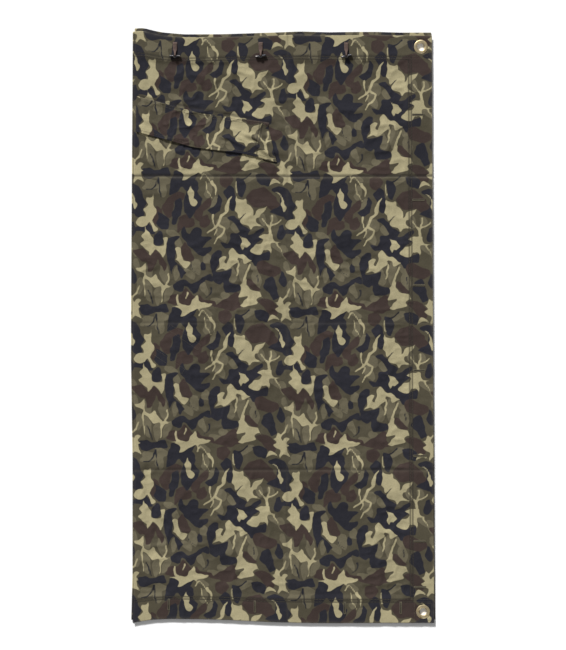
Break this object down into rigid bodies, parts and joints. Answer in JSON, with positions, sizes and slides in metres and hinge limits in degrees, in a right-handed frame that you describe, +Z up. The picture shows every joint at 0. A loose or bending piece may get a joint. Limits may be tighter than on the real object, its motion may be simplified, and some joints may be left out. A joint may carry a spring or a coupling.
{
  "type": "folded camouflage canvas field sheet",
  "caption": "Square leaf-camouflage canvas field sheet folded once down its middle, with hems, corner grommets, buttonholes, toggles and a flapped arm slit.",
  "frame": {"origin": "middle of the folded sheet's outline, on the floor", "axes": "+X across the folded sheet away from the fold, +Y along the fold towards the toggles, +Z up"},
  "size_m": [0.926, 1.8, 0.0149],
  "materials": {
    "canvas_print": "printed cotton canvas",
    "canvas_reverse": "reverse of printed cotton canvas",
    "tape": "woven cotton tape",
    "thread": "cotton thread",
    "brass": "polished, lightly worn",
    "toggle_metal": "dark, edges worn bright"
  },
  "bodies": {
    "lower_leaf": {"lower_panel": "canvas_print", "lower_top_hem": "canvas_reverse", "lower_side_hem": "canvas_reverse", "lower_bottom_hem": "canvas_reverse", "lower_corner_patch_top": "tape", "lower_corner_patch_bottom": "tape", "lower_grommet_top": "brass", "lower_grommet_bottom": "brass", "lower_washer_top": "brass", "lower_washer_bottom": "brass", "lower_side_buttonholes": "thread", "lower_bottom_buttonholes": "thread", "fold_edge": "canvas_print"},
    "upper_leaf": {"upper_panel": "canvas_print", "upper_top_hem": "canvas_reverse", "upper_side_hem": "canvas_reverse", "upper_bottom_hem": "canvas_reverse", "upper_corner_patch_top": "tape", "upper_corner_patch_bottom": "tape", "upper_grommet_top": "brass", "upper_grommet_bottom": "brass", "upper_washer_top": "brass", "upper_washer_bottom": "brass", "upper_side_buttonholes": "thread", "upper_bottom_buttonholes": "thread", "inner_tape_1": "tape", "inner_tape_2": "tape", "slit_facing": "canvas_reverse", "flap_margin": "canvas_print", "toggle_roots": "tape"},
    "flap": {"slit_flap": "canvas_print"},
    "tab_1": {"toggle_tab_1": "tape"},
    "bar_1": {"toggle_1": "toggle_metal"},
    "tab_2": {"toggle_tab_2": "tape"},
    "bar_2": {"toggle_2": "toggle_metal"},
    "tab_3": {"toggle_tab_3": "tape"},
    "bar_3": {"toggle_3": "toggle_metal"}
  },
  "joints": [
    {"name": "leaf_fold", "type": "hinge", "parent": "lower_leaf", "child": "upper_leaf", "pos_m": [-0.46, 0, 0.003], "axis": [0, -1, 0], "range_deg": [0, 180]},
    {"name": "flap_lift", "type": "hinge", "parent": "upper_leaf", "child": "flap", "pos_m": [-0.451, 0.69, 0.0073], "axis": [-0.982, 0.1891, 0], "range_deg": [0, 150]},
    {"name": "toggle_1_flip", "type": "hinge", "parent": "upper_leaf", "child": "tab_1", "pos_m": [-0.33, 0.858, 0.0079], "axis": [-1, 0, 0], "range_deg": [0, 160]},
    {"name": "toggle_2_flip", "type": "hinge", "parent": "upper_leaf", "child": "tab_2", "pos_m": [-0.069, 0.858, 0.0079], "axis": [-1, 0, 0], "range_deg": [0, 160]},
    {"name": "toggle_3_flip", "type": "hinge", "parent": "upper_leaf", "child": "tab_3", "pos_m": [0.192, 0.858, 0.0079], "axis": [-1, 0, 0], "range_deg": [0, 160]},
    {"name": "toggle_1_turn", "type": "hinge", "parent": "tab_1", "child": "bar_1", "pos_m": [-0.33, 0.827, 0.0106], "axis": [0, 0, 1], "range_deg": [-50, 50]},
    {"name": "toggle_2_turn", "type": "hinge", "parent": "tab_2", "child": "bar_2", "pos_m": [-0.069, 0.827, 0.0106], "axis": [0, 0, 1], "range_deg": [-59, 41]},
    {"name": "toggle_3_turn", "type": "hinge", "parent": "tab_3", "child": "bar_3", "pos_m": [0.192, 0.827, 0.0106], "axis": [0, 0, 1], "range_deg": [-64, 36]}
  ]
}
